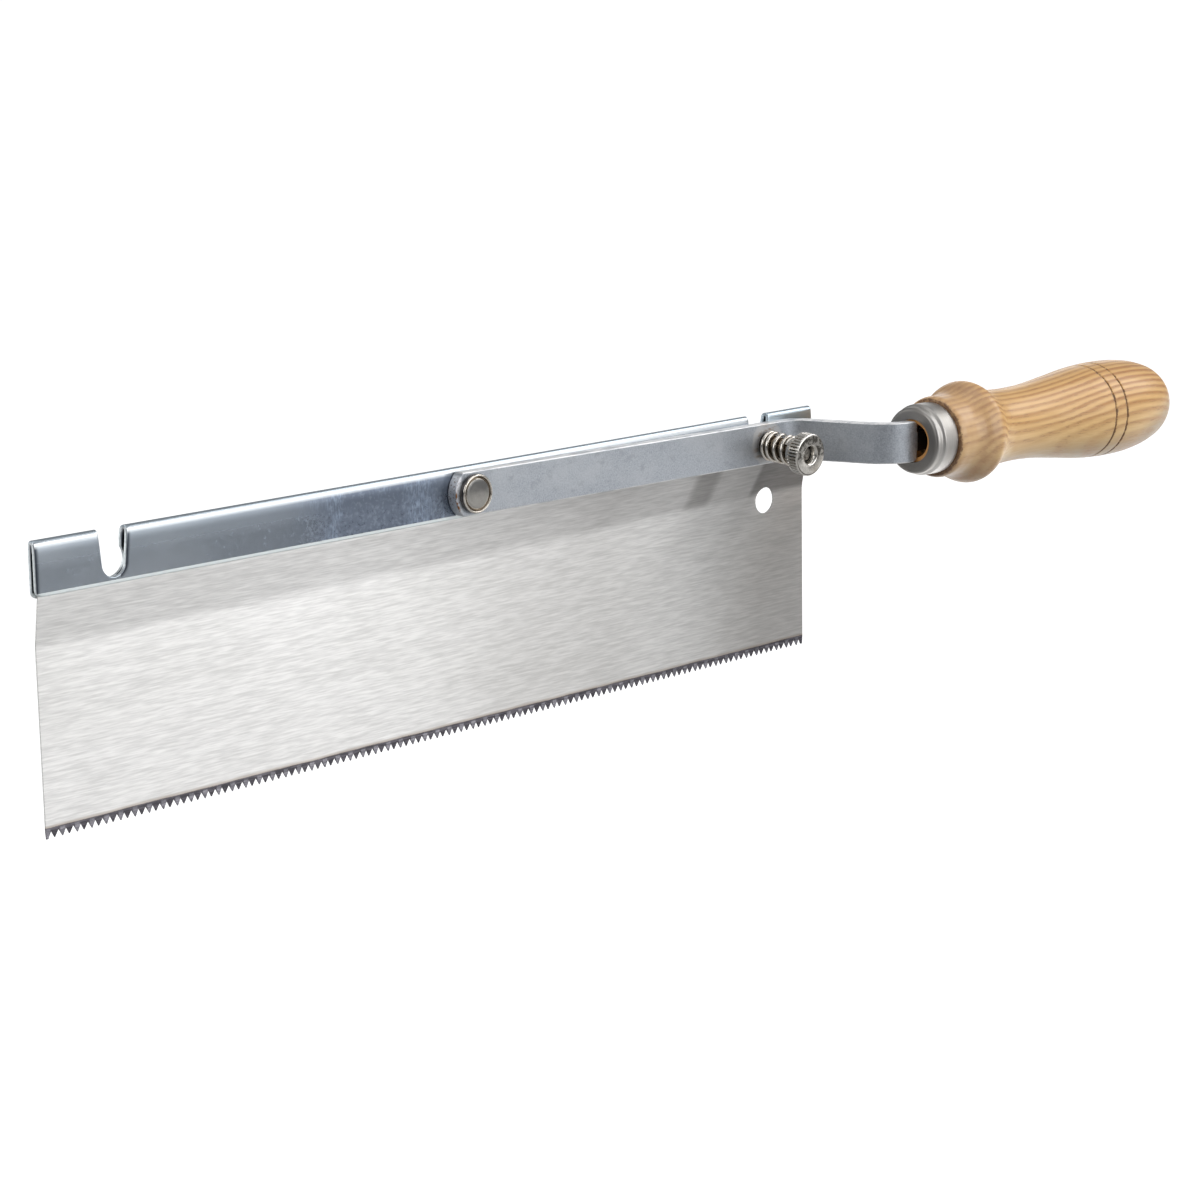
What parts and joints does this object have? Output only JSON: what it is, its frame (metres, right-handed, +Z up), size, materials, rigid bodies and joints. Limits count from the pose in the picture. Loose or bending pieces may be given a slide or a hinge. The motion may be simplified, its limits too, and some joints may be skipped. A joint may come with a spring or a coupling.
{
  "type": "hand saw",
  "caption": "Offset back saw with a fine-tooth steel blade in a folded spine; its cranked wooden-handled arm swings over the back and locks at either end.",
  "frame": {"origin": "centre of the hanging hole in the blade, on the middle of the lower blade's thickness", "axes": "+X from the toe towards the handle, along the folded back; +Z up, from the teeth to the back; -Y is the side with the arm and the knob"},
  "size_m": [0.3684, 0.0447, 0.0734],
  "materials": {
    "blade_steel": "fine grain along the length, dark blued teeth",
    "zinc_plate": "bright zinc plate on folded sheet steel",
    "arm_zinc": "matte zinc plate on flat bar",
    "nickel": "worn nickel plate",
    "spring_steel": "nickel plated spring wire",
    "ferrule_steel": "satin nickel plated drawn steel",
    "ash_wood": "clear gloss lacquer on turned ash"
  },
  "bodies": {
    "saw": {"blade": "blade_steel", "back": "zinc_plate", "pivot_rivet": "nickel"},
    "handle_arm": {"arm": "arm_zinc", "lock_spring": "spring_steel", "ferrule": "ferrule_steel", "handle": "ash_wood"},
    "lock_pin": {"lock_stud": "nickel"},
    "lock_knob": {"knurled_nut": "nickel"}
  },
  "joints": [
    {"name": "arm_swivel", "type": "hinge", "parent": "saw", "child": "handle_arm", "pos_m": [-0.1106, -0.0046, 0.01765], "axis": [0, -1, 0], "range_deg": [0, 181.2]},
    {"name": "lock_pin_push", "type": "slide", "parent": "handle_arm", "child": "lock_pin", "axis": [0, 0.9976, 0.0698], "range_m": [0, 0.003], "stiffness_N_per_m": 1500, "springref_m": -0.003, "deforming": ["lock_spring"]},
    {"name": "knob_turn", "type": "hinge", "parent": "lock_pin", "child": "lock_knob", "pos_m": [-0.00521, -0.01886, 0.01529], "axis": [0, -0.9976, -0.0698], "range_deg": [0, 720]}
  ]
}
